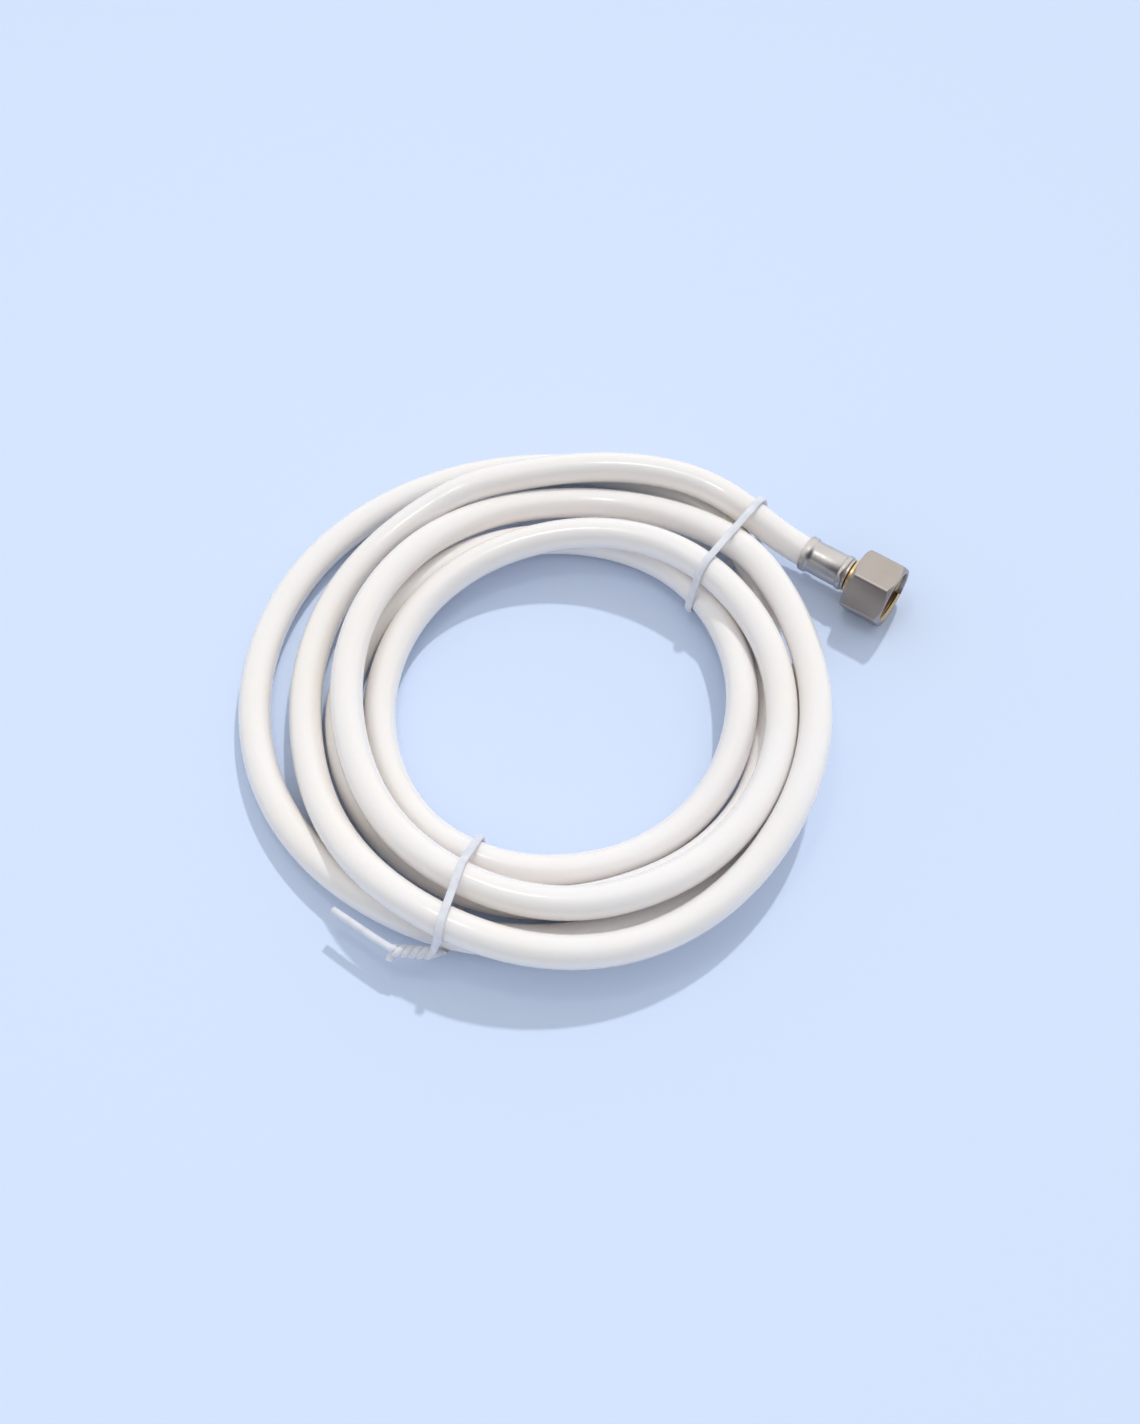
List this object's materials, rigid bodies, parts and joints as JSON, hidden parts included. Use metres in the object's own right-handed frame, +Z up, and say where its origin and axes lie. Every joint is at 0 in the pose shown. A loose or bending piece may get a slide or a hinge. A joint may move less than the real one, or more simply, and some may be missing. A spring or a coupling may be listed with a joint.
{
  "type": "polyurethane hose",
  "caption": "Coiled white polyurethane water hose with a crimped ferrule and a hexagonal swivel nut at one end, tied with coated wire.",
  "frame": {"origin": "under the middle of the whole part's box, on the surface that the coil and the nut lie on", "axes": "+X along the fitting and out of the nut's mouth, +Z up from the surface, +Y towards the fitting's side of the coil"},
  "size_m": [0.2258, 0.2402, 0.0293],
  "materials": {
    "hose_white": "glossy ivory white",
    "ferrule_steel": "bright, crimped",
    "nipple_brass": "machined",
    "washer_rubber": "matte",
    "nut_nickel": "satin nickel plating",
    "tie_white": "plastic coating over wire"
  },
  "bodies": {
    "hose_and_fitting": {"hose": "hose_white", "ferrule": "ferrule_steel", "nipple": "nipple_brass", "sealing_washer": "washer_rubber", "twist_tie_front": "tie_white", "twist_tie_rear": "tie_white"},
    "nut": {"swivel_nut": "nut_nickel"}
  },
  "joints": [
    {"name": "nut_spin", "type": "hinge", "parent": "hose_and_fitting", "child": "nut", "pos_m": [0.08364, 0.10621, 0.012], "axis": [1, 0, 0], "continuous": true}
  ]
}
